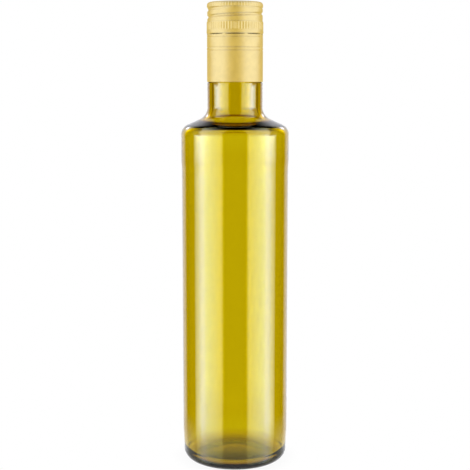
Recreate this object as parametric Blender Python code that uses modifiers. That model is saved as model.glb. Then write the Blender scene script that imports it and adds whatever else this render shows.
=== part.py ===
"""A tall glass bottle with a long-skirted aluminium screw cap, at real size.

Metres, +Z up. The origin is the middle of the circle that the bottle stands on.
The bottle is one turned glass solid, open at the mouth. The cap is one turned
aluminium solid over the neck, with two knurled bands, a rolled thread and a row
of tamper slits, whose bridges still join its two halves.
"""

import math

import bmesh
import bpy
from mathutils import Matrix, Vector

MM = 0.001

# Driving dimensions, in millimetres
CAP_TOP_Z = 267.8
CAP_BOTTOM_Z = 222.7
BODY_R = 30.9
NECK_R = 15.9
CAP_R = 16.05
BODY_WALL = 2.6
NECK_WALL = 3.45
GAP = 0.35
STEP_H = 0.4

# Outside of the glass
SHOULDER_R = BODY_R + 0.3
SHOULDER_EDGE_R = 6.3
SHOULDER_EDGE_Z = 192.6
SHOULDER_SLOPE = math.radians(24.0)
NECK_FOOT_R = 7.4
PANEL_TOP_Z = 176.0
PANEL_STEP_H = 4.0
HEEL_TAPER_Z = 20.0
HEEL_TAPER = 0.6
HEEL_R = 5.5
BEARING_W = 2.6
PUNT_H = 4.0

# Inside of the glass
FLOOR_Z = 3.5
FLOOR_CORNER_R = 5.5
FLOOR_CENTRE_Z = 6.5
SHOULDER_WALL = 2.6
SHOULDER_SIDE_WALL = 2.35
INNER_SLOPE = math.radians(17.5)
INNER_EDGE_R = 4.0
INNER_FOOT_R = 11.5
INNER_STEP_Z = PANEL_TOP_Z - 2 * PANEL_STEP_H
MOUTH_R = 11.3
MOUTH_LIP_R = 0.9

# The glass under the cap
FINISH_R = 13.9
FINISH_COLLAR_R = 14.9
COLLAR_TOP_Z = 256.2
COLLAR_BOTTOM_Z = 250.5
NECK_STEP_Z = CAP_BOTTOM_Z - 0.25
NECK_STEP_H = 0.15

# The cap's bands, by height
CAP_WALL = 0.45
CAP_PLATE = 0.5
CAP_EDGE_R = 1.8
CROWN_R = CAP_R
CROWN_BOTTOM_Z = 265.0
THREAD_ZONE_R = CAP_R - 0.2
THREAD_ZONE_TOP_Z = 263.9
BAND_R = CAP_R + 0.15
BAND_TOP_Z = 257.0
BAND_BOTTOM_Z = 252.1
RING_R = CAP_R + 0.22
RING_BOTTOM_Z = 250.3
SLIT_Z = 249.7
SLIT_H = 0.6
SCORE_Z = 248.1
BEAD_R = CAP_R + 0.1
BEAD_Z = 241.4
BEAD_HALF_H = 0.9
GROOVE_W = 0.6
GROOVE_D = 0.2

# The rolled thread, a right-hand groove
THREAD_PITCH = 4.0
THREAD_FRONT_Z = 260.3
THREAD_FROM = math.radians(0.0)
THREAD_TO = math.radians(625.0)
THREAD_TOOL_R = 1.0
THREAD_DEPTH = 0.65
THREAD_RUN_OUT = 6

# Ribs and bridges
KNURLS = 60
KNURL_TOOL_R = 0.45
KNURL_DEPTH = 0.3
BRIDGES = 8
BRIDGE_W = 1.4

BOTTLE_STEPS = 48
CAP_STEPS = 60
FRONT = math.radians(270.0)


def arc(centre, radius, start, end, count):
    """Points of an arc in the profile plane, from start to end in degrees, both included."""
    points = []
    for i in range(count + 1):
        angle = math.radians(start + (end - start) * i / count)
        points.append((centre[0] + radius * math.cos(angle), centre[1] + radius * math.sin(angle)))
    return points


def dome(half_width, centre_z, rise, power, steps):
    """Points of a shallow dome between its middle and its edge, at the given shares of the half width."""
    return [(half_width * t, centre_z - rise * t**power) for t in steps]


def shoulder_point(wall):
    """The point on the sloping shoulder where its round edge ends, at a depth in the wall."""
    reach = SHOULDER_EDGE_R - wall
    return (
        SHOULDER_R - SHOULDER_EDGE_R + reach * math.sin(SHOULDER_SLOPE),
        SHOULDER_EDGE_Z + reach * math.cos(SHOULDER_SLOPE),
    )


def shoulder_centres(slope, through, wall_r, edge_r, neck_r, foot_r):
    """Centres of the two arcs that a sloping line joins: one against the wall, one against the neck."""
    edge_centre_r = wall_r - edge_r
    foot_centre_r = neck_r + foot_r
    edge_line_z = through[1] + (through[0] - edge_centre_r) * math.tan(slope)
    foot_line_z = through[1] + (through[0] - foot_centre_r) * math.tan(slope)
    edge_centre = (edge_centre_r, edge_line_z - edge_r / math.cos(slope))
    foot_centre = (foot_centre_r, foot_line_z + foot_r / math.cos(slope))
    return edge_centre, foot_centre


def glass_inside():
    """The inside of the glass, from the middle of the floor up to the mouth."""
    body_r = BODY_R - BODY_WALL
    side_r = SHOULDER_R - SHOULDER_SIDE_WALL
    bore_r = NECK_R - NECK_WALL
    edge_centre, foot_centre = shoulder_centres(
        INNER_SLOPE, shoulder_point(SHOULDER_WALL), side_r, INNER_EDGE_R, bore_r, INNER_FOOT_R
    )
    slope = math.degrees(INNER_SLOPE)
    corner = (body_r - FLOOR_CORNER_R, FLOOR_Z + FLOOR_CORNER_R)
    points = dome(corner[0], FLOOR_CENTRE_Z, FLOOR_CENTRE_Z - FLOOR_Z, 2.0, (0.0, 0.4, 0.75))
    points += arc(corner, FLOOR_CORNER_R, -90, 0, 4)
    points += [(body_r, INNER_STEP_Z)]
    points += arc(edge_centre, INNER_EDGE_R, 0, 90 - slope, 4)
    points += arc(foot_centre, INNER_FOOT_R, 270 - slope, 180, 4)
    points += [(bore_r, COLLAR_BOTTOM_Z), (MOUTH_R, COLLAR_TOP_Z)]
    return points


def glass_outside():
    """The outside of the glass, from the mouth down to the middle of the base."""
    edge_centre, foot_centre = shoulder_centres(
        SHOULDER_SLOPE, shoulder_point(0.0), SHOULDER_R, SHOULDER_EDGE_R, NECK_R, NECK_FOOT_R
    )
    slope = math.degrees(SHOULDER_SLOPE)
    under_cap_r = CAP_R - CAP_WALL - GAP
    mouth_z = CAP_TOP_Z - CAP_PLATE - GAP
    heel_r = BODY_R - HEEL_TAPER
    heel_centre = (heel_r - HEEL_R, HEEL_R)
    bearing_inner = heel_centre[0] - BEARING_W
    points = [(MOUTH_R, mouth_z - MOUTH_LIP_R)]
    points += arc((MOUTH_R + MOUTH_LIP_R, mouth_z - MOUTH_LIP_R), MOUTH_LIP_R, 135, 90, 1)
    points += arc((FINISH_R - MOUTH_LIP_R, mouth_z - MOUTH_LIP_R), MOUTH_LIP_R, 90, 0, 2)
    points += [(FINISH_R, COLLAR_TOP_Z), (FINISH_COLLAR_R, COLLAR_TOP_Z - STEP_H)]
    points += [(FINISH_COLLAR_R, COLLAR_BOTTOM_Z), (under_cap_r, COLLAR_BOTTOM_Z - STEP_H)]
    points += [(under_cap_r, NECK_STEP_Z), (NECK_R, NECK_STEP_Z - NECK_STEP_H)]
    points += arc(foot_centre, NECK_FOOT_R, 180, 270 - slope, 5)
    points += arc(edge_centre, SHOULDER_EDGE_R, 90 - slope, 0, 5)
    points += [(SHOULDER_R, PANEL_TOP_Z), (BODY_R, PANEL_TOP_Z - PANEL_STEP_H)]
    points += [(BODY_R, HEEL_TAPER_Z), (BODY_R - HEEL_TAPER * 0.4, HEEL_TAPER_Z * 0.6)]
    points += arc(heel_centre, HEEL_R, 0, -90, 5)
    points += dome(bearing_inner, PUNT_H, PUNT_H, 2.2, (1.0, 0.8, 0.45, 0.0))
    return points


def groove(z, radius):
    """A shallow V groove round the cap, as three profile points from top to bottom."""
    half = GROOVE_W / 2
    return [(radius, z + half), (radius - GROOVE_D, z), (radius, z - half)]


def cap_profile():
    """The cap from the middle of its top, down the outside and up the inside."""
    plate_z = CAP_TOP_Z - CAP_PLATE
    skirt_inner_r = CAP_R - CAP_WALL
    thread_inner_r = FINISH_R + STEP_H
    collar_inner_r = FINISH_COLLAR_R + STEP_H
    waist_r = THREAD_ZONE_R - GROOVE_D
    points = [(0.0, CAP_TOP_Z)]
    points += arc((CROWN_R - CAP_EDGE_R, CAP_TOP_Z - CAP_EDGE_R), CAP_EDGE_R, 90, 0, 3)
    points += [(CROWN_R, CROWN_BOTTOM_Z), (waist_r, CROWN_BOTTOM_Z - STEP_H)]
    points += [(waist_r, THREAD_ZONE_TOP_Z + STEP_H), (THREAD_ZONE_R, THREAD_ZONE_TOP_Z)]
    points += [(THREAD_ZONE_R, BAND_TOP_Z), (BAND_R, BAND_TOP_Z - STEP_H)]
    points += [(BAND_R, BAND_BOTTOM_Z), (RING_R, BAND_BOTTOM_Z - STEP_H)]
    points += [(RING_R, RING_BOTTOM_Z), (CAP_R, RING_BOTTOM_Z - STEP_H / 2)]
    points += groove(SCORE_Z, CAP_R)
    points += groove(BEAD_Z + BEAD_HALF_H, CAP_R)
    points += [(BEAD_R, BEAD_Z)]
    points += groove(BEAD_Z - BEAD_HALF_H, CAP_R)
    points += [(CAP_R, CAP_BOTTOM_Z), (skirt_inner_r, CAP_BOTTOM_Z)]
    points += [(skirt_inner_r, COLLAR_BOTTOM_Z + STEP_H), (collar_inner_r, COLLAR_BOTTOM_Z + 2 * STEP_H)]
    points += [(collar_inner_r, COLLAR_TOP_Z), (thread_inner_r, COLLAR_TOP_Z + STEP_H)]
    points += [(thread_inner_r, plate_z), (0.0, plate_z)]
    return points


def make_material(name, colour, roughness, metallic, alpha=1.0):
    material = bpy.data.materials.new(name)
    material.use_nodes = True
    shader = material.node_tree.nodes["Principled BSDF"]
    shader.inputs["Base Color"].default_value = (*colour, 1.0)
    shader.inputs["Roughness"].default_value = roughness
    shader.inputs["Metallic"].default_value = metallic
    shader.inputs["Alpha"].default_value = alpha
    return material


def turned(name, profile, steps, collection, closed=False):
    """An object that turns a profile, given in millimetres at +X, once round Z."""
    points = [Vector((r, 0.0, z)) * MM for r, z in profile]
    edges = [(i, i + 1) for i in range(len(points) - 1)]
    if closed:
        edges.append((len(points) - 1, 0))
    mesh = bpy.data.meshes.new(name)
    mesh.from_pydata(points, edges, [])
    piece = bpy.data.objects.new(name, mesh)
    collection.objects.link(piece)
    screw = piece.modifiers.new("Turn", "SCREW")
    screw.axis = "Z"
    screw.steps = steps
    screw.render_steps = steps
    screw.use_merge_vertices = True
    screw.merge_threshold = 0.00001
    screw.use_smooth_shade = False
    return piece


def as_cutter(tool):
    tool.hide_render = True
    tool.display_type = "WIRE"
    return tool


def cut(piece, tool):
    """Cuts the tool from the piece with a Boolean modifier."""
    modifier = piece.modifiers.new(tool.name, "BOOLEAN")
    modifier.operation = "DIFFERENCE"
    modifier.solver = "EXACT"
    modifier.object = tool


def around(count, phase=0.0):
    """Evenly spaced angles round the Z axis."""
    return [phase + 2 * math.pi * i / count for i in range(count)]


def knurl_cutter(name, radius, bottom_z, top_z, collection):
    """Upright six-sided rods, half sunk in the cap's wall, one for each valley of a knurled band."""
    tool_mesh = bmesh.new()
    centre_r = radius + KNURL_TOOL_R - KNURL_DEPTH
    middle_z = (bottom_z + top_z) / 2
    for angle in around(KNURLS, math.pi / KNURLS):
        place = Matrix.Rotation(angle, 4, "Z") @ Matrix.Translation(Vector((centre_r, 0, middle_z)) * MM)
        bmesh.ops.create_cone(
            tool_mesh,
            cap_ends=True,
            segments=6,
            radius1=KNURL_TOOL_R * MM,
            radius2=KNURL_TOOL_R * MM,
            depth=(top_z - bottom_z) * MM,
            matrix=place @ Matrix.Rotation(math.pi / 2, 4, "Z"),
        )
    mesh = bpy.data.meshes.new(name)
    tool_mesh.to_mesh(mesh)
    tool_mesh.free()
    tool = bpy.data.objects.new(name, mesh)
    collection.objects.link(tool)
    return as_cutter(tool)


def thread_cutter(name, collection):
    """A round rod bent to a helix that rolls the thread groove, thinner at both ends."""
    steps_per_turn = 40
    turns = (THREAD_TO - THREAD_FROM) / (2 * math.pi)
    count = round(turns * steps_per_turn)
    helix_r = THREAD_ZONE_R + THREAD_TOOL_R - THREAD_DEPTH
    curve = bpy.data.curves.new(name, "CURVE")
    curve.dimensions = "3D"
    curve.bevel_depth = THREAD_TOOL_R * MM
    curve.bevel_resolution = 2
    curve.use_fill_caps = True
    spline = curve.splines.new("POLY")
    spline.points.add(count)
    for i, point in enumerate(spline.points):
        angle = THREAD_FROM + (THREAD_TO - THREAD_FROM) * i / count
        height = THREAD_FRONT_Z + THREAD_PITCH * (angle - FRONT) / (2 * math.pi)
        place = Vector((helix_r * math.cos(angle), helix_r * math.sin(angle), height)) * MM
        point.co = (*place, 1.0)
        point.radius = min(1.0, 0.4 + 0.6 * min(i, count - i) / THREAD_RUN_OUT)
    rod = bpy.data.objects.new(name + "_rod", curve)
    collection.objects.link(rod)
    bpy.context.view_layer.update()
    mesh = bpy.data.meshes.new_from_object(rod.evaluated_get(bpy.context.evaluated_depsgraph_get()))
    bpy.data.objects.remove(rod)
    welded = bmesh.new()
    welded.from_mesh(mesh)
    bmesh.ops.remove_doubles(welded, verts=welded.verts, dist=0.00001)
    welded.to_mesh(mesh)
    welded.free()
    tool = bpy.data.objects.new(name, mesh)
    collection.objects.link(tool)
    return as_cutter(tool)


def slit_cutter(name, collection):
    """A flat ring through the cap's wall, less the bridges that stay between the slits."""
    inner_r = CAP_R - CAP_WALL - STEP_H
    outer_r = RING_R + STEP_H
    top_z = SLIT_Z + SLIT_H / 2
    bottom_z = SLIT_Z - SLIT_H / 2
    section = [(inner_r, top_z), (outer_r, top_z), (outer_r, bottom_z), (inner_r, bottom_z)]
    ring = turned(name, section, CAP_STEPS, collection, closed=True)
    bars = bmesh.new()
    bar_length = outer_r - inner_r + 1.0
    middle_r = (outer_r + inner_r) / 2
    for angle in around(BRIDGES, FRONT + math.pi / BRIDGES):
        size = Matrix.Diagonal(Vector((bar_length, BRIDGE_W, SLIT_H * 3)) * MM).to_4x4()
        place = Matrix.Rotation(angle, 4, "Z") @ Matrix.Translation(Vector((middle_r, 0, SLIT_Z)) * MM)
        bmesh.ops.create_cube(bars, size=1.0, matrix=place @ size)
    mesh = bpy.data.meshes.new(name + "_bridges")
    bars.to_mesh(mesh)
    bars.free()
    bridges = bpy.data.objects.new(name + "_bridges", mesh)
    collection.objects.link(bridges)
    cut(ring, as_cutter(bridges))
    return as_cutter(ring)


def make_bottle(collection):
    bottle = turned("bottle", glass_inside() + glass_outside(), BOTTLE_STEPS, collection)
    bottle.data.materials.append(make_material("olive_glass", (0.50, 0.42, 0.04), 0.05, 0.0, 0.4))
    return bottle


def make_cap(collection, cutters):
    cap = turned("cap", cap_profile(), CAP_STEPS, collection)
    cap.data.materials.append(make_material("gold_aluminium", (0.80, 0.62, 0.25), 0.35, 1.0))
    cut(cap, knurl_cutter("crown_knurl", CROWN_R, CROWN_BOTTOM_Z + STEP_H / 2, CAP_TOP_Z + 1.0, cutters))
    cut(cap, knurl_cutter("band_knurl", BAND_R, BAND_BOTTOM_Z + STEP_H, BAND_TOP_Z - 2 * STEP_H, cutters))
    cut(cap, thread_cutter("thread_groove", cutters))
    cut(cap, slit_cutter("tamper_slits", cutters))
    return cap


def main():
    for old in list(bpy.data.objects):
        bpy.data.objects.remove(old)
    parts = bpy.data.collections.new("glass_bottle")
    cutters = bpy.data.collections.new("cutters")
    bpy.context.scene.collection.children.link(parts)
    bpy.context.scene.collection.children.link(cutters)
    make_bottle(parts)
    make_cap(parts, cutters)


main()
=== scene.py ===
"""The looks of a tall glass bottle with a gold aluminium screw cap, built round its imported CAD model.

The glass and the cap are each turned from a profile by Geometry Nodes. The cap is a thin rolled
sheet with knurled bands, a rolled thread and a row of tamper slits. The glass has its colour from
what it absorbs, so a thicker wall looks darker. Lengths in the profiles are millimetres; the
settings and the meshes are in metres, +Z up, with the origin in the middle of the base.
"""

import math

import bpy
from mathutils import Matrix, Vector


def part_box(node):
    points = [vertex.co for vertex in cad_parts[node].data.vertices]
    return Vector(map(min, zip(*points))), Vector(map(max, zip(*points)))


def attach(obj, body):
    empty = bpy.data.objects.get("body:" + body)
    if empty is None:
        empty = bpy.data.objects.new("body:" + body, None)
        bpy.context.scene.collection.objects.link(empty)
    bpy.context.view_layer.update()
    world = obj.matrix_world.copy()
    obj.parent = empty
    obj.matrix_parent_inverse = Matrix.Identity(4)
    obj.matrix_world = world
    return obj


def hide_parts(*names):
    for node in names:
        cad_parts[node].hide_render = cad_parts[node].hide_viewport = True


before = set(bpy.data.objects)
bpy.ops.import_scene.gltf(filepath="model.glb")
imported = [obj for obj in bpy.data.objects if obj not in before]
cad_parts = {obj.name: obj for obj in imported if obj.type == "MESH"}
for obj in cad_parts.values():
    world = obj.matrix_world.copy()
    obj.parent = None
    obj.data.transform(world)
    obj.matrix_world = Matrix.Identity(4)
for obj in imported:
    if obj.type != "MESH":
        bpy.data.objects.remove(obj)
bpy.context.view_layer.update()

bl_info = {
    "name": "Glass Bottle with Screw Cap",
    "version": (1, 0, 0),
    "blender": (4, 5, 0),
    "location": "3D View > Sidebar > Bottle",
    "description": "Makes a turned glass bottle, its rolled aluminium screw cap and a studio for them",
    "category": "Object",
}

MM = 0.001
IMAGE_SIZE = 470
SENSOR_WIDTH = 36.0
NEAREST_SEEN = 0.01
GLASS_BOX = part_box("bottle")
CAP_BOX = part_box("cap")

# The angle, counted from +X, of the side that faces the camera
FRONT = math.radians(270.0)

GLASS_COLUMNS = 256
CAP_COLUMNS = 480
ROW_MASKS = ("wavy", "ribbed", "threaded", "slit_edge")


# Settings


class BottleGlassSettings(bpy.types.PropertyGroup):
    """Sizes and colour of the glass."""

    shoulder_radius: bpy.props.FloatProperty(
        name="Shoulder Radius",
        description="Outside radius just below the shoulder, the widest place",
        default=GLASS_BOX[1].x,
        unit="LENGTH",
    )
    mouth_height: bpy.props.FloatProperty(
        name="Mouth Height",
        description="Height of the mouth over the surface that the bottle stands on",
        default=GLASS_BOX[1].z,
        unit="LENGTH",
    )
    neck_radius: bpy.props.FloatProperty(
        name="Neck Radius", description="Outside radius of the neck", default=15.9 * MM, unit="LENGTH"
    )
    body_wall: bpy.props.FloatProperty(
        name="Body Wall", description="Wall of the straight body", default=2.6 * MM, unit="LENGTH"
    )
    neck_wall: bpy.props.FloatProperty(
        name="Neck Wall", description="Wall of the neck", default=3.45 * MM, unit="LENGTH"
    )
    waviness: bpy.props.FloatProperty(
        name="Waviness",
        description="How far the inner wall wanders, as in blown glass",
        default=0.05 * MM,
        unit="LENGTH",
    )
    tint: bpy.props.FloatVectorProperty(
        name="Tint",
        description="Colour that the glass lets through",
        subtype="COLOR",
        size=3,
        min=0.0,
        max=1.0,
        default=(0.916, 0.870, 0.0),
    )
    density: bpy.props.FloatProperty(
        name="Density", description="How strongly the glass absorbs, per metre", default=1290.0
    )


class BottleCapSettings(bpy.types.PropertyGroup):
    """Sizes and colour of the screw cap."""

    top: bpy.props.FloatProperty(
        name="Top", description="Height of the cap's top", default=CAP_BOX[1].z, unit="LENGTH"
    )
    bottom: bpy.props.FloatProperty(
        name="Bottom", description="Height of the skirt's lower edge", default=CAP_BOX[0].z, unit="LENGTH"
    )
    radius: bpy.props.FloatProperty(
        name="Radius", description="Outside radius of the plain skirt", default=16.05 * MM, unit="LENGTH"
    )
    sheet: bpy.props.FloatProperty(
        name="Sheet", description="Thickness of the aluminium sheet", default=0.23 * MM, unit="LENGTH"
    )
    ribs: bpy.props.IntProperty(
        name="Ribs", description="Ribs in each knurled band, all the way round", default=60
    )
    rib_depth: bpy.props.FloatProperty(
        name="Rib Depth", description="Depth of the valleys between ribs", default=0.2 * MM, unit="LENGTH"
    )
    thread_pitch: bpy.props.FloatProperty(
        name="Thread Pitch",
        description="Rise of the rolled thread in one turn",
        default=4.0 * MM,
        unit="LENGTH",
    )
    thread_depth: bpy.props.FloatProperty(
        name="Thread Depth", description="Depth of the rolled thread", default=0.65 * MM, unit="LENGTH"
    )
    bridges: bpy.props.IntProperty(
        name="Bridges", description="Bridges left between the tamper slits", default=8
    )
    lacquer: bpy.props.FloatVectorProperty(
        name="Lacquer",
        description="Colour of the gold lacquer",
        subtype="COLOR",
        size=3,
        min=0.0,
        max=1.0,
        default=(0.88, 0.66, 0.2),
    )


class BottleStageSettings(bpy.types.PropertyGroup):
    """Camera, floor and light."""

    distance: bpy.props.FloatProperty(
        name="Distance", description="Camera to the bottle's axis, level", default=0.625, unit="LENGTH"
    )
    height: bpy.props.FloatProperty(
        name="Height", description="Camera over the floor", default=0.222, unit="LENGTH"
    )
    pitch: bpy.props.FloatProperty(
        name="Pitch",
        description="How far the camera looks down",
        default=math.radians(7.55),
        unit="ROTATION",
    )
    focal_pixels: bpy.props.FloatProperty(
        name="Focal Length in Pixels", description="Focal length in pixels of the picture", default=1075.3
    )
    shift_pixels: bpy.props.FloatProperty(
        name="Shift in Pixels", description="How far the picture is shifted, in its pixels", default=-9.2
    )
    softbox: bpy.props.FloatProperty(
        name="Softbox", description="Brightness of the softboxes that the glass mirrors", default=1.0
    )
    satin_softbox: bpy.props.FloatProperty(
        name="Softbox on Satin",
        description="Brightness of the softboxes that satin metal spreads",
        default=1.0,
    )


# Node trees


class NodeMaker:
    """Adds nodes to a tree, and links or sets their inputs in one call."""

    def __init__(self, tree):
        self.tree = tree

    def node(self, kind, inputs=None, **settings):
        """A new node with its settings, and its inputs by name or number."""
        node = self.tree.nodes.new(kind)
        for name, value in settings.items():
            setattr(node, name, value)
        self.fill(node, inputs or {})
        return node

    def fill(self, node, inputs):
        """Links each input to a socket, or gives it a value."""
        for key, value in inputs.items():
            socket = self.socket(node.inputs, key)
            if isinstance(value, bpy.types.NodeSocket):
                self.tree.links.new(value, socket)
            else:
                socket.default_value = value

    @staticmethod
    def socket(sockets, key):
        if isinstance(key, int):
            return sockets[key]
        return next(s for s in sockets if s.name == key and s.enabled)

    def math(self, operation, *values, clamp=False):
        node = self.node(
            "ShaderNodeMath", dict(enumerate(values)), operation=operation, use_clamp=clamp
        )
        return node.outputs[0]

    def product(self, first, *others):
        """All the numbers multiplied."""
        for other in others:
            first = self.math("MULTIPLY", first, other)
        return first

    def smooth(self, value, start, end, low=0.0, high=1.0, kind="SMOOTHSTEP"):
        """A step from low, where value is start, to high, where it is end."""
        node = self.node(
            "ShaderNodeMapRange",
            {"Value": value, "From Min": start, "From Max": end, "To Min": low, "To Max": high},
            interpolation_type=kind,
        )
        return node.outputs[0]

    def parts(self, coordinates):
        """The three numbers of a vector."""
        return self.node("ShaderNodeSeparateXYZ", {0: coordinates}).outputs

    def vector(self, operation, *values, **named):
        """The result of a vector sum, product or scaling."""
        node = self.node(
            "ShaderNodeVectorMath", {**dict(enumerate(values)), **named}, operation=operation
        )
        return node.outputs["Vector"]


def geometry_tree(name, sizes):
    """A Geometry Nodes tree with named inputs. Each size is (name, socket type, default)."""
    tree = bpy.data.node_groups.new(name, "GeometryNodeTree")
    tree.interface.new_socket("Geometry", in_out="OUTPUT", socket_type="NodeSocketGeometry")
    tree.interface.new_socket("Profile", in_out="INPUT", socket_type="NodeSocketGeometry")
    for socket_name, kind, default in sizes:
        socket = tree.interface.new_socket(socket_name, in_out="INPUT", socket_type=kind)
        if default is not None:
            socket.default_value = default
    maker = NodeMaker(tree)
    inputs = maker.node("NodeGroupInput").outputs
    return tree, maker, inputs


def row_mask(make, name):
    """A number that the profile gives each row."""
    return make.node("GeometryNodeInputNamedAttribute", {"Name": name}, data_type="FLOAT").outputs[0]


def turned_surface_tree():
    """Turns a profile, a chain of points at +X, once round Z. The rows are its points."""
    tree, make, inputs = geometry_tree("Turned Surface", [("Columns", "NodeSocketInt", GLASS_COLUMNS)])
    profile = inputs["Profile"]
    rows = make.node("GeometryNodeAttributeDomainSize", {"Geometry": profile}).outputs["Point Count"]
    grid = make.node(
        "GeometryNodeMeshGrid",
        {"Vertices X": make.math("ADD", inputs["Columns"], 1.0), "Vertices Y": rows},
    ).outputs["Mesh"]
    index = make.node("GeometryNodeInputIndex").outputs[0]
    column = make.math("FLOOR", make.math("DIVIDE", make.math("ADD", index, 0.5), rows))
    row = make.math("ROUND", make.math("SUBTRACT", index, make.math("MULTIPLY", column, rows)))

    def in_profile(value, kind):
        """What a value is at the profile's point of this row."""
        sample = make.node(
            "GeometryNodeSampleIndex", {"Geometry": profile, "Value": value, "Index": row}, data_type=kind
        )
        return sample.outputs["Value"]

    place = in_profile(make.node("GeometryNodeInputPosition").outputs[0], "FLOAT_VECTOR")
    angle = make.math("DIVIDE", make.math("MULTIPLY", column, 2 * math.pi), inputs["Columns"])
    turned = make.node(
        "ShaderNodeVectorRotate", {"Vector": place, "Angle": angle}, rotation_type="Z_AXIS"
    ).outputs[0]
    mesh = make.node("GeometryNodeSetPosition", {"Geometry": grid, "Position": turned}).outputs[0]
    for name in ROW_MASKS:
        value = in_profile(row_mask(make, name), "FLOAT")
        mesh = make.node(
            "GeometryNodeStoreNamedAttribute",
            {"Geometry": mesh, "Name": name, "Value": value},
            data_type="FLOAT",
            domain="POINT",
        ).outputs[0]
    make.node("NodeGroupOutput", {"Geometry": mesh})
    return tree


def shared_turning():
    """The turning tree, made once."""
    return bpy.data.node_groups.get("Turned Surface") or turned_surface_tree()


# Keeps the points of the seam from counting as a whole turn on
SEAM_ANGLE = 1e-4
MERGE_DISTANCE = 1e-6


def start_turning(make, inputs):
    """The turned mesh and, at each point, its position, angle in 0 to a full turn, height and way out."""
    group = make.node("GeometryNodeGroup", node_tree=shared_turning())
    make.fill(group, {"Profile": inputs["Profile"], "Columns": inputs["Columns"]})
    position = make.node("GeometryNodeInputPosition").outputs[0]
    x, y, z = make.parts(position)
    angle = make.math("ADD", make.math("ARCTAN2", y, x), SEAM_ANGLE)
    angle = make.math("FLOORED_MODULO", angle, 2 * math.pi)
    flat = make.node("ShaderNodeCombineXYZ", {"X": x, "Y": y}).outputs[0]
    return group.outputs["Geometry"], position, angle, z, make.vector("NORMALIZE", flat)


def move_out(make, mesh, out, offset):
    """Moves each point out by offset, and closes the seam and the poles."""
    moved = make.vector("SCALE", out, Scale=offset)
    mesh = make.node("GeometryNodeSetPosition", {"Geometry": mesh, "Offset": moved}).outputs[0]
    merged = make.node("GeometryNodeMergeByDistance", {"Geometry": mesh, "Distance": MERGE_DISTANCE})
    return merged.outputs[0]


def finish_tree(make, inputs, mesh):
    """Ends the tree with smooth shading and the material."""
    mesh = make.node("GeometryNodeSetShadeSmooth", {"Geometry": mesh, "Shade Smooth": True}).outputs[0]
    mesh = make.node("GeometryNodeRealizeInstances", {"Geometry": mesh}).outputs[0]
    mesh = make.node(
        "GeometryNodeSetMaterial", {"Geometry": mesh, "Material": inputs["Material"]}
    ).outputs[0]
    make.node("NodeGroupOutput", {"Geometry": mesh})


# How fine the waves are along each axis: they are drawn out in height
WAVE_STRETCH = (1.0, 1.0, 0.55)


def blown_glass_tree():
    """Turned glass whose inner wall wanders a little, where the row's mask wavy lets it."""
    tree, make, inputs = geometry_tree(
        "Blown Glass",
        [
            ("Columns", "NodeSocketInt", GLASS_COLUMNS),
            ("Waviness", "NodeSocketFloat", 0.05 * MM),
            ("Wave Size", "NodeSocketFloat", 28.0 * MM),
            ("Material", "NodeSocketMaterial", None),
        ],
    )
    mesh, position, _, _, out = start_turning(make, inputs)
    scaled = make.vector("MULTIPLY", position, WAVE_STRETCH)
    noise = make.node(
        "ShaderNodeTexNoise",
        {"Vector": scaled, "Scale": make.math("DIVIDE", 1.0, inputs["Wave Size"]), "Detail": 1.0},
        noise_dimensions="3D",
    ).outputs[0]
    wave = make.math("MULTIPLY", make.math("SUBTRACT", noise, 0.5), 2.0)
    offset = make.product(wave, row_mask(make, "wavy"), inputs["Waviness"])
    mesh = move_out(make, mesh, out, offset)
    finish_tree(make, inputs, mesh)
    return tree


RIB_SHARPNESS = 3.0
THREAD_SHARPNESS = 1.6

# How nearly a slit's two edges meet midway between its bridges: 1 is closed
SLIT_CLOSING = 0.9

# A face is cut where all its points are slit edges, so their mask is above this
SLIT_EDGE_LIMIT = 0.75


def rolled_thread(make, inputs, angle, z):
    """How deep in the rolled thread each point is, from 0 to 1. The thread goes round nearly twice."""
    groove = None
    for turn in (0, 1):
        along = make.math("ADD", angle, 2 * math.pi * turn)
        rise = make.math("DIVIDE", make.math("SUBTRACT", along, FRONT), 2 * math.pi)
        middle = make.math(
            "ADD", make.math("MULTIPLY", rise, inputs["Thread Pitch"]), inputs["Thread Front Height"]
        )
        away = make.math("DIVIDE", make.math("SUBTRACT", z, middle), inputs["Thread Half Width"])
        bell = make.math("SUBTRACT", 1.0, make.math("MULTIPLY", away, away), clamp=True)
        bell = make.math("POWER", bell, THREAD_SHARPNESS)
        run_out = inputs["Thread Run Out"]
        begin = make.math("DIVIDE", along, run_out, clamp=True)
        end = make.math("DIVIDE", make.math("SUBTRACT", inputs["Thread End"], along), run_out, clamp=True)
        one = make.math("MULTIPLY", bell, make.math("MULTIPLY", begin, end))
        groove = one if groove is None else make.math("MAXIMUM", groove, one)
    return groove


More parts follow.
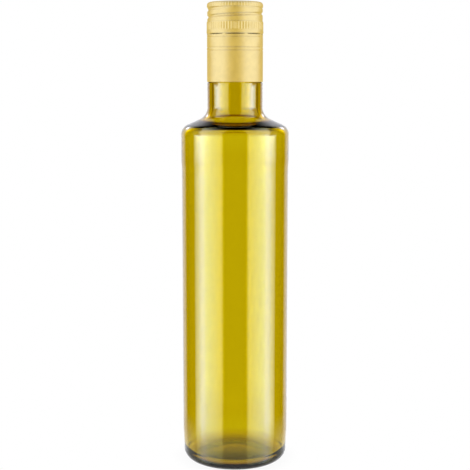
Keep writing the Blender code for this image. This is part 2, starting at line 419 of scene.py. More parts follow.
def cut_slits(make, inputs, mesh, angle, z):
    """Cuts the tamper slits between the bridges. Their edges close in towards each slit's middle."""
    half_space = make.math("DIVIDE", math.pi, inputs["Bridges"])
    first = make.math("ADD", half_space, FRONT)
    half_bridge = make.math("MULTIPLY", inputs["Bridge Angle"], 0.5)
    from_bridge = make.math("PINGPONG", make.math("SUBTRACT", angle, first), half_space)
    open_here = make.math("GREATER_THAN", from_bridge, half_bridge)
    between_edges = make.math("GREATER_THAN", row_mask(make, "slit_edge"), SLIT_EDGE_LIMIT)
    cut = make.math("MULTIPLY", open_here, between_edges)
    half_slit = make.math("SUBTRACT", half_space, half_bridge)
    from_middle = make.math("DIVIDE", make.math("SUBTRACT", half_space, from_bridge), half_slit)
    closing = make.math("POWER", make.math("MINIMUM", from_middle, 1.0), inputs["Slit Taper"])
    lift = make.product(
        make.math("SUBTRACT", inputs["Slit Middle"], z),
        make.math("MULTIPLY", closing, SLIT_CLOSING),
        row_mask(make, "slit_edge"),
    )
    lifted = make.node("ShaderNodeCombineXYZ", {"Z": lift}).outputs[0]
    mesh = make.node("GeometryNodeSetPosition", {"Geometry": mesh, "Offset": lifted}).outputs[0]
    slit = make.node("GeometryNodeDeleteGeometry", {"Geometry": mesh, "Selection": cut}, domain="FACE")
    return slit.outputs[0]


def rolled_cap_tree():
    """A turned sheet with ribs, a rolled thread and slits, where the rows' masks let them be."""
    tree, make, inputs = geometry_tree(
        "Rolled Cap",
        [
            ("Columns", "NodeSocketInt", CAP_COLUMNS),
            ("Ribs", "NodeSocketInt", 60),
            ("Rib Depth", "NodeSocketFloat", 0.2 * MM),
            ("Thread Pitch", "NodeSocketFloat", 4.0 * MM),
            ("Thread Depth", "NodeSocketFloat", 0.65 * MM),
            ("Thread Half Width", "NodeSocketFloat", 1.1 * MM),
            ("Thread Front Height", "NodeSocketFloat", 260.3 * MM),
            ("Thread End", "NodeSocketFloat", math.radians(625.0)),
            ("Thread Run Out", "NodeSocketFloat", math.radians(50.0)),
            ("Slit Middle", "NodeSocketFloat", SLIT_MIDDLE * MM),
            ("Slit Taper", "NodeSocketFloat", 2.5),
            ("Bridges", "NodeSocketInt", 8),
            ("Bridge Angle", "NodeSocketFloat", math.radians(5.9)),
            ("Material", "NodeSocketMaterial", None),
        ],
    )
    mesh, _, angle, z, out = start_turning(make, inputs)
    half_phase = make.math("MULTIPLY", angle, make.math("MULTIPLY", inputs["Ribs"], 0.5))
    valley = make.math("POWER", make.math("ABSOLUTE", make.math("SINE", half_phase)), RIB_SHARPNESS)
    ribs = make.product(valley, row_mask(make, "ribbed"), inputs["Rib Depth"])
    groove = rolled_thread(make, inputs, angle, z)
    thread = make.product(groove, row_mask(make, "threaded"), inputs["Thread Depth"])
    offset = make.math("MULTIPLY", make.math("ADD", ribs, thread), -1.0)
    mesh = move_out(make, mesh, out, offset)
    mesh = cut_slits(make, inputs, mesh, angle, z)
    finish_tree(make, inputs, mesh)
    return tree


def set_sizes(modifier, values):
    """Sets the modifier's named inputs."""
    for item in modifier.node_group.interface.items_tree:
        if item.in_out == "INPUT" and item.name in values:
            modifier[item.identifier] = values[item.name]


# Points of a profile, in millimetres

# Points nearer than this count as one
SAME_POINT = 0.004


def arc(centre, radius, start, end, count):
    """Points of an arc in the profile plane, from start to end in degrees, both included."""
    points = []
    for i in range(count + 1):
        angle = math.radians(start + (end - start) * i / count)
        points.append((centre[0] + radius * math.cos(angle), centre[1] + radius * math.sin(angle)))
    return points


def line(start, end, step):
    """Points between two others, both left out, no further apart than step."""
    length = math.hypot(end[0] - start[0], end[1] - start[1])
    count = max(1, math.ceil(length / step))
    return [
        (start[0] + (end[0] - start[0]) * i / count, start[1] + (end[1] - start[1]) * i / count)
        for i in range(1, count)
    ]


def ease(start, end, count):
    """Points of a smooth S from start to end, both included."""
    points = []
    for i in range(count + 1):
        t = i / count
        s = t * t * (3 - 2 * t)
        points.append((start[0] + (end[0] - start[0]) * s, start[1] + (end[1] - start[1]) * t))
    return points


def joined(*runs):
    """The runs of points in one chain, without repeats."""
    chain = []
    for point in (p for run in runs for p in run):
        if not chain or math.hypot(point[0] - chain[-1][0], point[1] - chain[-1][1]) > SAME_POINT:
            chain.append(point)
    return chain


def profile_piece(name, rows):
    """A chain of points at +X for the turning trees. Each row is (radius, height, masks)."""
    mesh = bpy.data.meshes.new(name)
    points = [Vector((row[0], 0.0, row[1])) * MM for row in rows]
    mesh.from_pydata(points, [(i, i + 1) for i in range(len(rows) - 1)], [])
    for mask in ROW_MASKS:
        values = mesh.attributes.new(mask, "FLOAT", "POINT")
        values.data.foreach_set("value", [row[2].get(mask, 0.0) for row in rows])
    piece = bpy.data.objects.new(name, mesh)
    bpy.context.scene.collection.objects.link(piece)
    return piece


# Profile of the glass, in millimetres

CENTRE_STEPS = 14

# Base and heel. The bearing rows go out from the bearing ring's inner edge.
PUNT_RISE = 4.0
PUNT_POWER = 2.2
BEARING_WIDTH = 2.6
BEARING_ROWS = ((0.05, 0.12), (0.4, 0.03), (1.2, 0.0))
HEEL_R = 5.5
HEEL_INSET = 0.6
HEEL_TOP_Z = 20.0
FLOOR_Z = 3.5
FLOOR_CORNER_R = 5.5
FLOOR_CENTRE_Z = 6.5

# Body. It is a little narrower than the shoulder.
BODY_INSET = 0.3
BODY_TOP_Z = 172.0
BODY_TOP_INNER_Z = 168.0
SHOULDER_FOOT_Z = 178.0

# Shoulder. The edge's height is that of its round centre, and the slopes are in degrees.
SHOULDER_EDGE_Z = 192.6
SHOULDER_EDGE_R = 6.3
SHOULDER_SLOPE = 24.0
SHOULDER_WALL = 2.6
SHOULDER_SIDE_WALL = 2.35
SHOULDER_INNER_SLOPE = 17.5
INNER_EDGE_R = 4.0
INNER_FOOT_R = 11.5

# Neck and mouth. The cap hides all that is above the neck's top.
NECK_FOOT_R = 7.4
NECK_TOP_Z = 222.2
UNDER_SKIRT_R = 15.25
UNDER_SKIRT_Z = (222.6, 250.1)
UNDER_BAND_R = 14.9
UNDER_BAND_Z = (250.5, 255.8)
MOUTH_R = 13.9
MOUTH_BORE_R = 11.3
MOUTH_FOOT_Z = 256.2
LIP_R = 0.9

# The inner wall wanders between these heights, and comes to rest over the fade
WAVY_Z = (10.0, 200.0)
WAVY_FADE = 12.0


def shoulder_centres(slope, through, wall_r, edge_r, neck_r, foot_r):
    """Centres of the two arcs that a line joins. It falls by slope, in degrees, and passes a point."""
    slope = math.radians(slope)

    def height(r):
        return through[1] + (through[0] - r) * math.tan(slope)

    edge = (wall_r - edge_r, height(wall_r - edge_r) - edge_r / math.cos(slope))
    foot = (neck_r + foot_r, height(neck_r + foot_r) + foot_r / math.cos(slope))
    return edge, foot


def shoulder_point(shoulder_r, wall):
    """A point on the shoulder where its round edge ends, at a depth in the wall."""
    slope = math.radians(SHOULDER_SLOPE)
    reach = SHOULDER_EDGE_R - wall
    return shoulder_r - SHOULDER_EDGE_R + reach * math.sin(slope), SHOULDER_EDGE_Z + reach * math.cos(slope)


def glass_outside(shoulder_r, neck_r, mouth_z):
    """The outside of the glass, from the middle of the base up to the mouth."""
    body_r = shoulder_r - BODY_INSET
    heel_r = body_r - HEEL_INSET
    heel = (heel_r - HEEL_R, HEEL_R)
    bearing = heel[0] - BEARING_WIDTH
    outward = [i / CENTRE_STEPS for i in range(CENTRE_STEPS)]
    edge, foot = shoulder_centres(
        SHOULDER_SLOPE, shoulder_point(shoulder_r, 0.0), shoulder_r, SHOULDER_EDGE_R, neck_r, NECK_FOOT_R
    )
    step_to_cap = [
        (neck_r, NECK_TOP_Z - 0.1),
        (neck_r - 0.04, NECK_TOP_Z + 0.06),
        (UNDER_SKIRT_R + 0.05, NECK_TOP_Z + 0.25),
        (UNDER_SKIRT_R, UNDER_SKIRT_Z[0]),
    ]
    return joined(
        [(bearing * t, PUNT_RISE * (1 - t**PUNT_POWER)) for t in outward],
        [(bearing + out, z) for out, z in BEARING_ROWS],
        arc(heel, HEEL_R, -90, 0, 20),
        ease((heel_r, HEEL_R), (body_r, HEEL_TOP_Z), 8),
        line((body_r, HEEL_TOP_Z), (body_r, BODY_TOP_Z), 4.0),
        ease((body_r, BODY_TOP_Z), (shoulder_r, SHOULDER_FOOT_Z), 5),
        line((shoulder_r, SHOULDER_FOOT_Z), (shoulder_r, SHOULDER_EDGE_Z), 4.0),
        arc(edge, SHOULDER_EDGE_R, 0, 90 - SHOULDER_SLOPE, 18),
        arc(foot, NECK_FOOT_R, 270 - SHOULDER_SLOPE, 180, 16),
        line((neck_r, foot[1]), (neck_r, NECK_TOP_Z), 3.0),
        step_to_cap,
        line((UNDER_SKIRT_R, UNDER_SKIRT_Z[0]), (UNDER_SKIRT_R, UNDER_SKIRT_Z[1]), 6.0),
        [(UNDER_SKIRT_R, UNDER_SKIRT_Z[1])],
        [(UNDER_BAND_R, UNDER_BAND_Z[0]), (UNDER_BAND_R, UNDER_BAND_Z[1]), (MOUTH_R, MOUTH_FOOT_Z)],
        line((MOUTH_R, MOUTH_FOOT_Z), (MOUTH_R, mouth_z - LIP_R), 5.0),
        arc((MOUTH_R - LIP_R, mouth_z - LIP_R), LIP_R, 0, 90, 6),
    )


def glass_inside(shoulder_r, neck_r, mouth_z, body_wall, neck_wall):
    """The inside of the glass, from the mouth down to the middle of the floor."""
    body_r = shoulder_r - BODY_INSET - body_wall
    bore_r = neck_r - neck_wall
    side_r = shoulder_r - SHOULDER_SIDE_WALL
    through = shoulder_point(shoulder_r, SHOULDER_WALL)
    edge, foot = shoulder_centres(
        SHOULDER_INNER_SLOPE, through, side_r, INNER_EDGE_R, bore_r, INNER_FOOT_R
    )
    corner = (body_r - FLOOR_CORNER_R, FLOOR_Z + FLOOR_CORNER_R)
    rise = FLOOR_CENTRE_Z - FLOOR_Z
    inward = [i / CENTRE_STEPS for i in range(CENTRE_STEPS - 1, -1, -1)]
    return joined(
        arc((MOUTH_BORE_R + LIP_R, mouth_z - LIP_R), LIP_R, 90, 180, 6),
        [(MOUTH_BORE_R, MOUTH_FOOT_Z), (bore_r, UNDER_BAND_Z[0])],
        line((bore_r, UNDER_BAND_Z[0]), (bore_r, foot[1]), 3.0),
        arc(foot, INNER_FOOT_R, 180, 270 - SHOULDER_INNER_SLOPE, 14),
        arc(edge, INNER_EDGE_R, 90 - SHOULDER_INNER_SLOPE, 0, 12),
        ease((side_r, edge[1]), (body_r, BODY_TOP_INNER_Z), 8),
        line((body_r, BODY_TOP_INNER_Z), (body_r, corner[1]), 4.0),
        arc(corner, FLOOR_CORNER_R, 0, -90, 12),
        [(corner[0] * t, FLOOR_CENTRE_Z - rise * t**2) for t in inward],
    )


def glass_rows(settings):
    """The whole profile of the glass. Only the inside is wavy."""
    shoulder_r = settings.shoulder_radius / MM
    neck_r = settings.neck_radius / MM
    mouth_z = settings.mouth_height / MM
    inside = glass_inside(
        shoulder_r, neck_r, mouth_z, settings.body_wall / MM, settings.neck_wall / MM
    )
    rows = [(r, z, {}) for r, z in glass_outside(shoulder_r, neck_r, mouth_z)]
    for r, z in inside:
        wavy = min(1.0, (z - WAVY_Z[0]) / WAVY_FADE, (WAVY_Z[1] - z) / WAVY_FADE)
        rows.append((r, z, {"wavy": max(0.0, wavy)}))
    return rows


# Profile of the cap, in millimetres

# Rows nearer than this count as one
SAME_ROW = 0.01

# Rows of the skirt's lower edge: (out from the skirt, height over the edge)
EDGE_ROWS = ((-0.12, 0.0), (-0.03, 0.12), (0.0, 0.35))

# Heights up the skirt, from the edge to the slits
SKIRT_STEP = 4.0
LOWER_SKIRT_TOP_Z = 240.0
LOWER_GROOVE_Z = 240.5
UPPER_GROOVE_Z = 242.3
UPPER_SKIRT_Z = 245.2
SCORE_LINE_Z = 248.1
SCORE_TOP_Z = 249.0
SLIT_MIDDLE = 249.7
SLIT_HALF = 0.15

GROOVE_HALF = 0.3
GROOVE_DEPTH = 0.2

# Rows of a rolled groove: (share of its half width, rounding of its lip, share of its depth)
GROOVE_ROWS = (
    (-1.0, -0.08, 0.0),
    (-0.62, 0.0, 0.25),
    (-0.2, 0.0, 0.85),
    (0.0, 0.0, 1.0),
    (0.2, 0.0, 0.85),
    (0.62, 0.0, 0.25),
    (1.0, 0.08, 0.0),
)

# Rows of the bead between the two grooves: (out from the skirt, height)
BEAD_ROWS = ((0.08, 241.15), (0.1, 241.4), (0.08, 241.65))

# Rows from the slits up to the thread, with the lower knurled band: (out from the skirt, height, masks)
BAND_ROWS = (
    (0.0, 250.12, {}),
    (0.1, 250.2, {}),
    (0.2, 250.38, {}),
    (0.22, 250.62, {}),
    (0.22, 251.2, {}),
    (0.2, 251.7, {}),
    (0.15, 251.95, {}),
    (0.15, 252.2, {"ribbed": 0.15}),
    (0.15, 252.45, {"ribbed": 0.7}),
    (0.15, 252.75, {"ribbed": 1.0}),
    (0.15, 253.8, {"ribbed": 1.0}),
    (0.15, 254.9, {"ribbed": 1.0}),
    (0.15, 255.95, {"ribbed": 1.0}),
    (0.15, 256.2, {"ribbed": 0.6}),
    (0.12, 256.45, {"ribbed": 0.15}),
    (0.03, 256.7, {"threaded": 0.5}),
)

# The threaded wall narrows to a waist at its top
THREAD_INSET = 0.2
THREAD_Z = (256.95, 264.3)
THREAD_STEPS = 31
WAIST_DEPTH = 0.2
WAIST_START_Z = 263.9

# Rows from the waist up to the upper knurled band: (out from the skirt, height, masks)
CROWN_RIBBED = 0.6
CROWN_ROWS = (
    (-0.4, 264.5, {"threaded": 0.6}),
    (-0.3, 264.72, {}),
    (-0.04, 264.9, {"ribbed": 0.5 * CROWN_RIBBED}),
    (0.0, 265.1, {"ribbed": CROWN_RIBBED}),
    (0.0, 265.6, {"ribbed": CROWN_RIBBED}),
)

# The ribs run on over the round edge of the top, and fade out before its end
CROWN_R = 1.8
CROWN_STEPS = 9
CROWN_FADE = 4.0
TOP_SHARES = (0.97, 0.6, 0.25, 0.0)


def groove(z, radius):
    """A shallow rolled groove round the cap, from below to above."""
    return [
        (radius - GROOVE_DEPTH * depth, z + GROOVE_HALF * half + lip) for half, lip, depth in GROOVE_ROWS
    ]


def cap_rows(cap_r, top_z, bottom_z):
    """The sheet's outside from the skirt's edge up to the middle of the top: (radius, height, masks)."""
    rows = []

    def add(points, **masks):
        for r, z in points:
            if not rows or math.hypot(r - rows[-1][0], z - rows[-1][1]) > SAME_ROW:
                rows.append((r, z, masks))

    edge = [(cap_r + out, bottom_z + up) for out, up in EDGE_ROWS]
    add(edge)
    add(line(edge[-1], (cap_r, LOWER_SKIRT_TOP_Z), SKIRT_STEP))
    add(groove(LOWER_GROOVE_Z, cap_r))
    add([(cap_r + out, z) for out, z in BEAD_ROWS])
    add(groove(UPPER_GROOVE_Z, cap_r))
    add([(cap_r, UPPER_SKIRT_Z)])
    add(groove(SCORE_LINE_Z, cap_r))
    add([(cap_r, SCORE_TOP_Z)])
    add([(cap_r, SLIT_MIDDLE - SLIT_HALF), (cap_r, SLIT_MIDDLE + SLIT_HALF)], slit_edge=1.0)
    for out, z, masks in BAND_ROWS:
        add([(cap_r + out, z)], **masks)

    start, end = THREAD_Z
    for i in range(THREAD_STEPS + 1):
        z = start + (end - start) * i / THREAD_STEPS
        into_waist = max(0.0, (z - WAIST_START_Z) / (end - WAIST_START_Z))
        add([(cap_r - THREAD_INSET - WAIST_DEPTH * into_waist, z)], threaded=1.0)
    for out, z, masks in CROWN_ROWS:
        add([(cap_r + out, z)], **masks)

    add([(cap_r, top_z - CROWN_R)], ribbed=CROWN_RIBBED)
    corner = arc((cap_r - CROWN_R, top_z - CROWN_R), CROWN_R, 0, 90, CROWN_STEPS)
    for i, point in enumerate(corner[1:], 1):
        share = max(0.0, min(1.0, (CROWN_STEPS - 1 - i) / CROWN_FADE))
        add([point], ribbed=CROWN_RIBBED * share)
    add([((cap_r - CROWN_R) * share, top_z) for share in TOP_SHARES])
    return rows


def into_plain_mesh(piece):
    """Replaces the piece's mesh with what its modifiers make, and takes them off."""
    bpy.context.view_layer.update()
    depsgraph = bpy.context.evaluated_depsgraph_get()
    mesh = bpy.data.meshes.new_from_object(piece.evaluated_get(depsgraph), depsgraph=depsgraph)
    if not mesh.polygons:
        raise RuntimeError(f"{piece.name} came out empty")
    piece.modifiers.clear()
    old = piece.data
    piece.data = mesh
    mesh.name = piece.name
    bpy.data.meshes.remove(old)
    for name in ROW_MASKS:
        if name in mesh.attributes:
            mesh.attributes.remove(mesh.attributes[name])


# Materials

WHITE = (1.0, 1.0, 1.0)
GLASS_INDEX = 1.52
GLASS_WAVES = (55.0, 55.0, 22.0)
CAP_GRAIN = (900.0, 900.0, 5200.0)
CAP_CLOUDS = 260.0

# Steps by distance from the axis: (start, end, low, high). Painted shadow under the base as the camera sees
# it, the deeper painted shadow seen through the glass, and how far the floor is gone from what glass
# mirrors.
FLOOR_SEEN_PAINTED_SHADE = (0.024, 0.040, 0.95, 1.0)
FLOOR_THROUGH_PAINTED_SHADE = (0.016, 0.036, 0.14, 1.0)
FLOOR_GONE = (0.050, 0.120, 0.3, 1.0)


def new_material(name):
    """A material, a maker for its tree, and its Principled shader."""
    material = bpy.data.materials.new(name)
    material.use_nodes = True
    make = NodeMaker(material.node_tree)
    return material, make, make.tree.nodes["Principled BSDF"]


def olive_glass(settings):
    """Clear glass that takes its olive colour from its thickness, with faint drawn waves."""
    material, make, shader = new_material("olive_glass")
    coordinates = make.node("ShaderNodeTexCoord").outputs["Object"]
    stretched = make.node("ShaderNodeMapping", {"Vector": coordinates, "Scale": GLASS_WAVES}).outputs[0]
    waves = make.node(
        "ShaderNodeTexNoise", {"Vector": stretched, "Scale": 1.0, "Detail": 2.0, "Roughness": 0.4}
    ).outputs[0]
    bump = make.node("ShaderNodeBump", {"Height": waves, "Strength": 0.25, "Distance": 0.00006})
    make.fill(
        shader,
        {
            "Base Color": (*WHITE, 1.0),
            "Roughness": 0.0,
            "IOR": GLASS_INDEX,
            "Transmission Weight": 1.0,
            "Normal": bump.outputs[0],
        },
    )
    volume = make.node(
        "ShaderNodeVolumeAbsorption", {"Color": (*settings.tint, 1.0), "Density": settings.density}
    )
    make.fill(make.tree.nodes["Material Output"], {"Volume": volume.outputs[0]})
    return material


def gold_lacquer(settings):
    """Satin gold lacquer on rolled aluminium, with fine grain round the cap and faint clouds."""
    material, make, shader = new_material("gold_lacquer")
    coordinates = make.node("ShaderNodeTexCoord").outputs["Object"]
    stretched = make.node("ShaderNodeMapping", {"Vector": coordinates, "Scale": CAP_GRAIN}).outputs[0]
    grain = make.node("ShaderNodeTexNoise", {"Vector": stretched, "Scale": 1.0, "Detail": 3.0}).outputs[0]
    cloud = make.node(
        "ShaderNodeTexNoise", {"Vector": coordinates, "Scale": CAP_CLOUDS, "Detail": 3.0}
    ).outputs[0]
    lacquer = Vector(settings.lacquer)
    colour = make.node(
        "ShaderNodeMix",
        {
            "Factor": make.smooth(cloud, 0.35, 0.65),
            "A": (*(lacquer * 0.96), 1.0),
            "B": (*(lacquer * 1.02), 1.0),
        },
        data_type="RGBA",
    )
    bump = make.node("ShaderNodeBump", {"Height": grain, "Strength": 0.15, "Distance": 0.00002})
    make.fill(
        shader,
        {
            "Base Color": colour.outputs[2],
            "Roughness": make.smooth(grain, 0.3, 0.7, 0.3, 0.4),
            "Metallic": 1.0,
            "Normal": bump.outputs[0],
        },
    )
    return material


def painted_shade_floor():
    """A pale floor that glows evenly, with a shadow painted under the base, deepest as seen through the
    glass.
    """
    material, make, shader = new_material("pale_floor_painted_shade")
    make.tree.nodes.remove(shader)
    x, y, _ = make.parts(make.node("ShaderNodeTexCoord").outputs["Object"])
    radius = make.math("SQRT", make.math("ADD", make.product(x, x), make.product(y, y)))
    path = make.node("ShaderNodeLightPath").outputs
    # Painted shadow under the base: faint for camera rays, deep for rays that come through the glass
    painted_shade_seen = make.smooth(radius, *FLOOR_SEEN_PAINTED_SHADE)
    through = make.smooth(radius, *FLOOR_THROUGH_PAINTED_SHADE)
    brightness = make.node(
        "ShaderNodeMix", {"Factor": path["Is Camera Ray"], "A": through, "B": painted_shade_seen}, data_type="FLOAT"
    ).outputs[0]
    glow = make.node("ShaderNodeEmission", {"Strength": brightness}).outputs[0]
    clear = make.node("ShaderNodeBsdfTransparent").outputs[0]
    mirrored = make.math("GREATER_THAN", path["Glossy Depth"], 0.5)
    gone = make.math("MULTIPLY", mirrored, make.smooth(radius, *FLOOR_GONE))
    mixed = make.node("ShaderNodeMixShader", {0: gone, 1: glow, 2: clear}).outputs[0]
    make.fill(make.tree.nodes["Material Output"], {"Surface": mixed})
    return material


# Studio light

# Directions are in degrees. Azimuth counts from the camera's side, the same to the left and the right,
# and height from the horizon. A lamp is (colour, azimuths over which it comes on, azimuths over which
# it goes off), and a step is (start, end, low, high).

# What the glass mirrors beside the camera: a softbox that gets bluer further round, with a strip
# light in it, and a lamp near the horizon
SOFTBOX = ((3.6, 3.9, 2.2), (24.0, 31.5), (94.0, 99.5))
SOFTBOX_RAMP = ((0.4, 1.8, 3.9), (33.0, 66.0), (80.0, 95.0), "LINEAR")
STRIP_LIGHT = ((0.6, 0.5, 2.8), (63.0, 74.0), (75.0, 86.0))
LEVEL_LAMP = ((3.2, 3.5, 3.2), (45.0, 78.0), (88.0, 97.0))
LEVEL_LOW = (-7.0, -1.0)
LEVEL_HIGH = (8.0, 25.0, 1.0, 0.0)

# How far back the softboxes' far edges lean for each degree of height
SOFTBOX_LEAN = 0.7
SOFTBOX_LOW = (-50.0, -40.0)
SOFTBOX_HIGH = (36.0, 78.0, 1.0, 0.0)

# A notch in the softboxes beside the bottle, so that the shoulder keeps its outline in side views
NOTCH_LOW = (1.0, 8.0)
NOTCH_HIGH = (44.0, 54.0, 1.0, 0.0)
NOTCH_ACROSS = (62.0, 76.0, 0.0, 0.92)

# What is left of the softboxes' green and blue high up, and far below the horizon
HIGH_GREEN = (4.0, 22.0, 1.0, 0.80)
HIGH_BLUE = (4.0, 22.0, 1.0, 0.46)
DEEP_GREEN = (-24.0, -32.0, 1.0, 0.85)
DEEP_BLUE = (-24.0, -32.0, 1.0, 0.5)

# How much is taken from the softboxes in later reflections, and in those from inside the glass
REPEAT_DIMMING = 0.8
INSIDE_DIMMING = (2.0, 10.0, 0.0, 0.93)

# What the glass mirrors further round: a warm card and a white wall, and a dim room in front
CARD = ((0.5, 0.43, 0.0), (94.0, 99.0), (129.0, 142.0))
WALL = ((1.1, 1.1, 1.15), (129.0, 143.0))
WALL_HIGH = (26.0, 46.0, 1.0, 0.0)
ROOM_COLOUR = (0.16, 0.13, 0.0)
ROOM_WIDTH = (20.0, 32.0, 1.0, 0.0)
ROOM_HIGH = (12.0, 30.0, 1.0, 0.0)

# A round back light, dimmed in reflections from inside the glass
BACK_LIGHT = (3.2, 3.6, 5.0)
BACK_AZIMUTH = 148.0
BACK_HEIGHT = 22.0
BACK_HALF_WIDTH = 9.0
BACK_HALF_HEIGHT = 7.0
BACK_EDGE = (0.3, 1.2, 1.0, 0.0)
BACK_INSIDE_DIMMING = 0.6

# What the satin cap mirrors: a softbox on both sides, in an even light that fades up and down
SATIN_SOFTBOX = ((0.34, 0.50, 1.5), (14.0, 52.0), (92.0, 128.0))
SATIN_AMBIENT = (0.71, 0.65, 0.36)
SATIN_MIDDLE_HEIGHT = 8.0
SATIN_STEEP = (25.0, 60.0, 1.0, 0.5)
SATIN_AHEAD = (0.0, 20.0, 0.84, 1.0)


class SkyMaker(NodeMaker):
    """Adds up the studio's lights by direction, for the world's tree."""

    def __init__(self, tree):
        super().__init__(tree)
        x, y, z = self.parts(self.node("ShaderNodeTexCoord").outputs["Generated"])
        azimuth = self.math("ARCTAN2", self.math("ABSOLUTE", x), self.math("MULTIPLY", y, -1.0))
        self.azimuth = self.math("MULTIPLY", azimuth, 180 / math.pi)
        self.height = self.math("MULTIPLY", self.math("ARCSINE", z), 180 / math.pi)
        back = self.math("MULTIPLY", self.math("MAXIMUM", self.height, 0.0), SOFTBOX_LEAN)
        self.leaning = self.math("SUBTRACT", self.azimuth, back)
        self.path = self.node("ShaderNodeLightPath").outputs
        self.inside = self.math("GREATER_THAN", self.path["Transmission Depth"], 0.5)

    def dimmed(self, light, amount):
        return self.vector("SCALE", light, Scale=amount)

    def together(self, first, *others):
        for other in others:
            first = self.vector("ADD", first, other)
        return first

    def without(self, share):
        """What is left of 1 when share is taken away."""
        return self.math("SUBTRACT", 1.0, share)

    def lamp(self, colour, rise, fall=None, kind="SMOOTHSTEP"):
        """A lamp's light by azimuth. Its far edge leans back as it goes up."""
        on = self.smooth(self.azimuth, *rise, kind=kind)
        if fall:
            on = self.math("MULTIPLY", on, self.smooth(self.leaning, *fall, 1.0, 0.0))
        return self.dimmed(colour, on)

    def by_height(self, *steps):
        """The product of steps by height."""
        return self.product(*(self.smooth(self.height, *step) for step in steps))


def mirrored_softboxes(sky, brightness):
    """What the glass mirrors beside the camera, which gives its pale bands."""
    light = sky.together(*(sky.lamp(*lamp) for lamp in (SOFTBOX, SOFTBOX_RAMP, STRIP_LIGHT)))
    level = sky.dimmed(sky.lamp(*LEVEL_LAMP), sky.by_height(LEVEL_LOW, LEVEL_HIGH))
    light = sky.together(light, level)
    notch = sky.product(
        sky.by_height(NOTCH_LOW), sky.smooth(sky.leaning, *NOTCH_ACROSS), sky.by_height(NOTCH_HIGH)
    )
    light = sky.dimmed(light, sky.without(notch))
    light = sky.dimmed(light, sky.by_height(SOFTBOX_LOW, SOFTBOX_HIGH))
    green = sky.by_height(HIGH_GREEN, DEEP_GREEN)
    blue = sky.by_height(HIGH_BLUE, DEEP_BLUE)
    warmth = sky.node("ShaderNodeCombineXYZ", {"X": 1.0, "Y": green, "Z": blue}).outputs[0]
    light = sky.vector("MULTIPLY", light, warmth)
    again = sky.math("GREATER_THAN", sky.path["Glossy Depth"], 1.5)
    first = sky.without(sky.math("MULTIPLY", again, REPEAT_DIMMING))
    hidden = sky.math("MULTIPLY", sky.inside, sky.by_height(INSIDE_DIMMING))
    return sky.dimmed(light, sky.product(first, sky.without(hidden), brightness))


def mirrored_surround(sky):
    """What the glass mirrors further round, in front and behind."""
    light = sky.together(sky.lamp(*CARD), sky.lamp(*WALL))
    light = sky.dimmed(light, sky.by_height(WALL_HIGH))
    ahead = sky.math("MULTIPLY", sky.smooth(sky.azimuth, *ROOM_WIDTH), sky.by_height(ROOM_HIGH))
    return sky.together(light, sky.dimmed(ROOM_COLOUR, ahead))


def mirrored_back_light(sky):
    """A round light behind, which gives the flecks at the shoulder and the neck's foot."""
    across = sky.math("DIVIDE", sky.math("SUBTRACT", sky.azimuth, BACK_AZIMUTH), BACK_HALF_WIDTH)
    above = sky.math("DIVIDE", sky.math("SUBTRACT", sky.height, BACK_HEIGHT), BACK_HALF_HEIGHT)
    off_centre = sky.node("ShaderNodeCombineXYZ", {"X": across, "Y": above}).outputs[0]
    spread = sky.node("ShaderNodeVectorMath", {0: off_centre}, operation="LENGTH").outputs["Value"]
    light = sky.dimmed(BACK_LIGHT, sky.smooth(spread, *BACK_EDGE))
    return sky.dimmed(light, sky.without(sky.math("MULTIPLY", sky.inside, BACK_INSIDE_DIMMING)))


def satin_light(sky, brightness):
    """What the satin cap mirrors and spreads."""
    tilt = sky.math("ABSOLUTE", sky.math("SUBTRACT", sky.height, SATIN_MIDDLE_HEIGHT))
    even = sky.math("MULTIPLY", sky.smooth(tilt, *SATIN_STEEP), sky.smooth(sky.azimuth, *SATIN_AHEAD))
    return sky.together(
        sky.dimmed(SATIN_AMBIENT, even), sky.dimmed(sky.lamp(*SATIN_SOFTBOX), brightness)
    )


def studio_light(settings):
    """White all round for what is seen directly or through glass. What sharp glass mirrors is a darker
    studio, the same on both sides, and what the satin cap mirrors is a softer one."""
    world = bpy.data.worlds.new("studio")
    world.use_nodes = True
    world.cycles.sampling_method = "NONE"
    sky = SkyMaker(world.node_tree)
    sharp = sky.together(
        mirrored_softboxes(sky, settings.softbox), mirrored_surround(sky), mirrored_back_light(sky)
    )
    satin = satin_light(sky, settings.satin_softbox)
    mirrored = sky.node(
        "ShaderNodeMix", {"Factor": sky.path["Is Singular Ray"], "A": satin, "B": sharp}, data_type="VECTOR"
    ).outputs[1]
    by_mirror = sky.math("GREATER_THAN", sky.path["Glossy Depth"], 0.5)
    colour = sky.node(
        "ShaderNodeMix", {"Factor": by_mirror, "A": WHITE, "B": mirrored}, data_type="VECTOR"
    ).outputs[1]
    sky.fill(sky.tree.nodes["Background"], {"Color": colour})
    return world


# Operators

STAGE_HALF = 2.0
STAGE_Z = -0.1 * MM


class BOTTLE_OT_glass(bpy.types.Operator):
    """Make the glass bottle"""

    bl_idname = "bottle.glass"
    bl_label = "Make Glass"

    def execute(self, context):
        settings = context.scene.bottle_glass
        bottle = profile_piece("glass_bottle", glass_rows(settings))
        modifier = bottle.modifiers.new("Blown", "NODES")
        modifier.node_group = blown_glass_tree()
        set_sizes(
            modifier,
            {"Columns": GLASS_COLUMNS, "Waviness": settings.waviness, "Material": olive_glass(settings)},
        )
        into_plain_mesh(bottle)
        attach(bottle, "root")
        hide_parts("bottle")
        return {"FINISHED"}


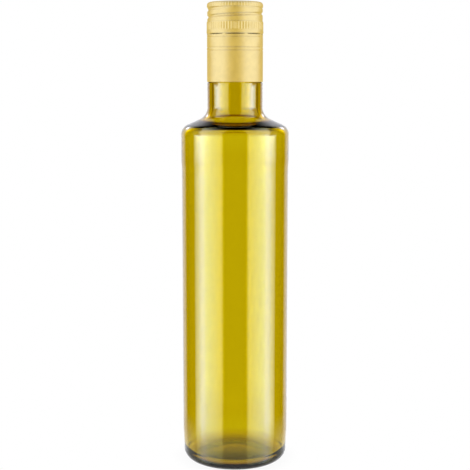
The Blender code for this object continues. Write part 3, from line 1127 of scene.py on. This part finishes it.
class BOTTLE_OT_cap(bpy.types.Operator):
    """Make the rolled aluminium screw cap"""

    bl_idname = "bottle.cap"
    bl_label = "Make Cap"

    def execute(self, context):
        settings = context.scene.bottle_cap
        rows = cap_rows(settings.radius / MM, settings.top / MM, settings.bottom / MM)
        cap = profile_piece("screw_cap", rows)
        modifier = cap.modifiers.new("Rolled", "NODES")
        modifier.node_group = rolled_cap_tree()
        set_sizes(
            modifier,
            {
                "Columns": CAP_COLUMNS,
                "Ribs": settings.ribs,
                "Rib Depth": settings.rib_depth,
                "Thread Pitch": settings.thread_pitch,
                "Thread Depth": settings.thread_depth,
                "Bridges": settings.bridges,
                "Material": gold_lacquer(settings),
            },
        )
        wall = cap.modifiers.new("Sheet", "SOLIDIFY")
        wall.thickness = settings.sheet
        wall.offset = -1.0
        into_plain_mesh(cap)
        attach(cap, "root")
        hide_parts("cap")
        return {"FINISHED"}


class BOTTLE_OT_stage(bpy.types.Operator):
    """Make the floor, the studio light and the camera"""

    bl_idname = "bottle.stage"
    bl_label = "Make Stage"

    def execute(self, context):
        settings = context.scene.bottle_stage
        scene = context.scene
        mesh = bpy.data.meshes.new("floor")
        signs = ((-1, -1), (1, -1), (1, 1), (-1, 1))
        corners = [(x * STAGE_HALF, y * STAGE_HALF, STAGE_Z) for x, y in signs]
        mesh.from_pydata(corners, [], [(0, 1, 2, 3)])
        floor = bpy.data.objects.new("floor", mesh)
        scene.collection.objects.link(floor)
        mesh.materials.append(painted_shade_floor())
        scene.world = studio_light(settings)
        scene.view_settings.view_transform = "Standard"
        lens = bpy.data.cameras.new("camera")
        lens.sensor_fit = "HORIZONTAL"
        lens.sensor_width = SENSOR_WIDTH
        lens.lens = SENSOR_WIDTH * settings.focal_pixels / IMAGE_SIZE
        lens.shift_y = settings.shift_pixels / IMAGE_SIZE
        lens.clip_start = NEAREST_SEEN
        camera = bpy.data.objects.new("camera", lens)
        camera.location = (0.0, -settings.distance, settings.height)
        camera.rotation_euler = (math.pi / 2 - settings.pitch, 0.0, 0.0)
        scene.collection.objects.link(camera)
        scene.camera = camera
        return {"FINISHED"}


class BOTTLE_PT_panel(bpy.types.Panel):
    """The bottle's settings and operators"""

    bl_label = "Glass Bottle"
    bl_idname = "BOTTLE_PT_panel"
    bl_space_type = "VIEW_3D"
    bl_region_type = "UI"
    bl_category = "Bottle"

    def draw(self, context):
        layout = self.layout
        for settings, operator in (
            (context.scene.bottle_glass, "bottle.glass"),
            (context.scene.bottle_cap, "bottle.cap"),
            (context.scene.bottle_stage, "bottle.stage"),
        ):
            box = layout.box()
            for name in settings.__annotations__:
                box.prop(settings, name)
            box.operator(operator)


CLASSES = (
    BottleGlassSettings,
    BottleCapSettings,
    BottleStageSettings,
    BOTTLE_OT_glass,
    BOTTLE_OT_cap,
    BOTTLE_OT_stage,
    BOTTLE_PT_panel,
)
GROUPS = {
    "bottle_glass": BottleGlassSettings,
    "bottle_cap": BottleCapSettings,
    "bottle_stage": BottleStageSettings,
}


def register():
    for cls in CLASSES:
        bpy.utils.register_class(cls)
    for name, group in GROUPS.items():
        setattr(bpy.types.Scene, name, bpy.props.PointerProperty(type=group))


def unregister():
    for name in GROUPS:
        delattr(bpy.types.Scene, name)
    for cls in reversed(CLASSES):
        bpy.utils.unregister_class(cls)


def main():
    register()
    bpy.ops.bottle.glass()
    bpy.ops.bottle.cap()
    bpy.ops.bottle.stage()


if __name__ == "__main__":
    main()
